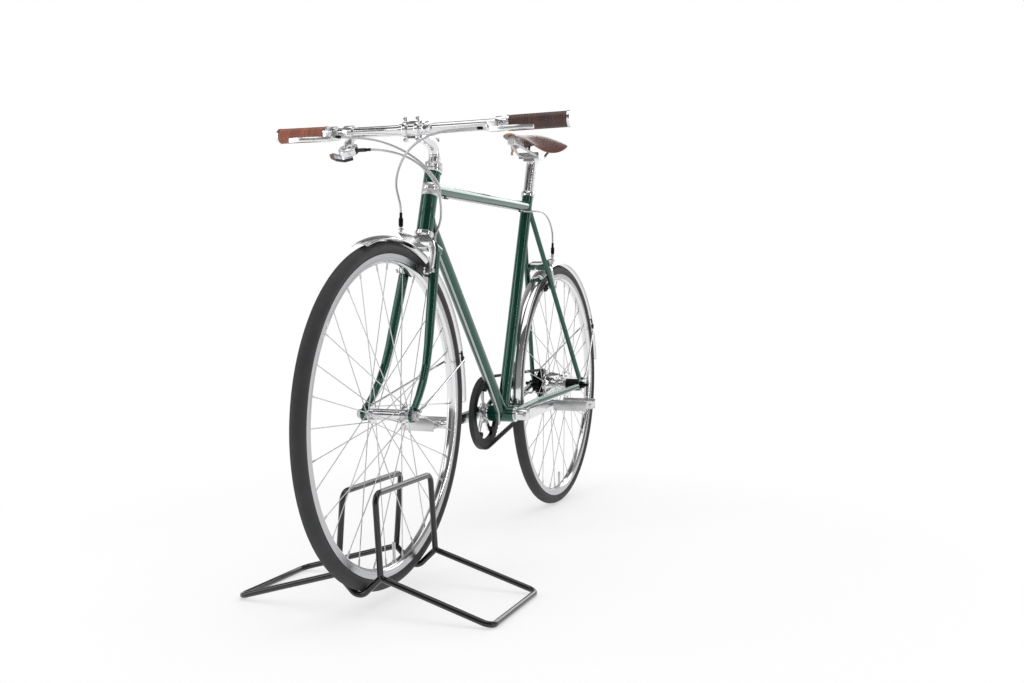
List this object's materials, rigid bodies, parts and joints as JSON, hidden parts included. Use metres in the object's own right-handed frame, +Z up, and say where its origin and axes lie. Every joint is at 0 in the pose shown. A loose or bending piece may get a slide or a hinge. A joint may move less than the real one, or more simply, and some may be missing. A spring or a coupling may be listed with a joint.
{
  "type": "city bicycle in a wheel stand",
  "caption": "City bicycle with belt drive, geared rear hub, fenders and leather saddle, parked with its front wheel in a wire wheel stand.",
  "frame": {"origin": "on the floor, in the middle of the overall length and width", "axes": "+X forward, +Y to the rider's left, +Z up"},
  "size_m": [1.7335, 0.6664, 1.0283],
  "materials": {
    "frame_paint": "dark metallic green enamel, glossy",
    "polished_alloy": "polished",
    "rim_alloy": "satin silver",
    "chrome": "mirror chrome",
    "fender_metal": "polished",
    "steel": "bright steel",
    "rear_axle_steel": "black",
    "saddle_steel": "bright steel",
    "pedal_metal": "satin silver",
    "shifter_body": "dark grey and silver",
    "grip_leather": "brown leather",
    "saddle_hide": "dark red-brown leather",
    "tyre": "black rubber",
    "pad_rubber": "black rubber",
    "belt_rubber": "black rubber",
    "black_drive": "black anodised",
    "cable_sheath": "silver grey",
    "stand_paint": "black enamel, glossy"
  },
  "bodies": {
    "frame": {"head_tube": "frame_paint", "seat_tube": "frame_paint", "top_tube": "frame_paint", "down_tube": "frame_paint", "bottom_bracket_shell": "frame_paint", "bottom_bracket_cups": "steel", "chainstay_left": "frame_paint", "chainstay_right": "frame_paint", "seatstays": "frame_paint", "headset_cups": "chrome", "seat_collar": "polished_alloy", "seatpost": "polished_alloy", "saddle_leather": "saddle_hide", "saddle_frame": "saddle_steel", "rear_brake": "polished_alloy", "rear_brake_pads": "pad_rubber", "rear_fender": "fender_metal", "rear_axle": "rear_axle_steel", "belt": "belt_rubber", "frame_cables": "cable_sheath", "rear_brake_housing": "cable_sheath", "gear_housing": "cable_sheath"},
    "steering": {"fork_crown": "frame_paint", "fork_blade_left": "frame_paint", "fork_blade_right": "frame_paint", "headset_locknut": "chrome", "stem": "polished_alloy", "stem_straps": "polished_alloy", "handlebar": "polished_alloy", "grip_left": "grip_leather", "grip_right": "grip_leather", "grip_rings": "polished_alloy", "brake_lever_left": "polished_alloy", "brake_lever_right": "polished_alloy", "shifter": "shifter_body", "bell": "chrome", "front_brake": "polished_alloy", "front_brake_pads": "pad_rubber", "front_fender": "fender_metal", "front_axle": "steel", "front_brake_cable": "cable_sheath", "stand_left": "stand_paint", "stand_right": "stand_paint", "stand_crossbars": "stand_paint"},
    "front_wheel": {"front_tyre": "tyre", "front_rim": "rim_alloy", "front_spokes": "steel", "front_hub": "rim_alloy"},
    "rear_wheel": {"rear_tyre": "tyre", "rear_rim": "rim_alloy", "rear_spokes": "steel", "rear_hub": "rim_alloy"},
    "cranks": {"crank_spindle": "steel", "crank_left": "polished_alloy", "crank_right": "polished_alloy", "chainring": "black_drive"},
    "sprocket": {"rear_sprocket": "black_drive"},
    "pedal_left": {"pedal_left": "pedal_metal"},
    "pedal_right": {"pedal_right": "pedal_metal"}
  },
  "joints": [
    {"name": "steering", "type": "hinge", "parent": "frame", "child": "steering", "pos_m": [0.3583, 0, 0.72999], "axis": [-0.3037, 0, 0.9528], "range_deg": [-60, 60], "deforming": ["rear_brake_housing", "gear_housing"]},
    {"name": "front_wheel_spin", "type": "hinge", "parent": "steering", "child": "front_wheel", "pos_m": [0.52581, 0, 0.3625], "axis": [0, 1, 0], "continuous": true},
    {"name": "rear_wheel_spin", "type": "hinge", "parent": "frame", "child": "rear_wheel", "pos_m": [-0.51897, 0, 0.341], "axis": [0, 1, 0], "continuous": true},
    {"name": "crank_spin", "type": "hinge", "parent": "frame", "child": "cranks", "pos_m": [-0.08913, 0, 0.30084], "axis": [0, 1, 0], "continuous": true, "deforming": ["belt"]},
    {"name": "sprocket_spin", "type": "hinge", "parent": "frame", "child": "sprocket", "pos_m": [-0.51897, 0, 0.341], "axis": [0, 1, 0], "continuous": true},
    {"name": "pedal_left_spin", "type": "hinge", "parent": "cranks", "child": "pedal_left", "pos_m": [-0.26074, 0.1, 0.3123], "axis": [0, 1, 0], "continuous": true},
    {"name": "pedal_right_spin", "type": "hinge", "parent": "cranks", "child": "pedal_right", "pos_m": [0.08249, -0.1, 0.28937], "axis": [0, 1, 0], "continuous": true}
  ],
  "couplings": [
    {"joint": "sprocket_spin", "follows": "crank_spin", "ratio": 2.1667}
  ]
}
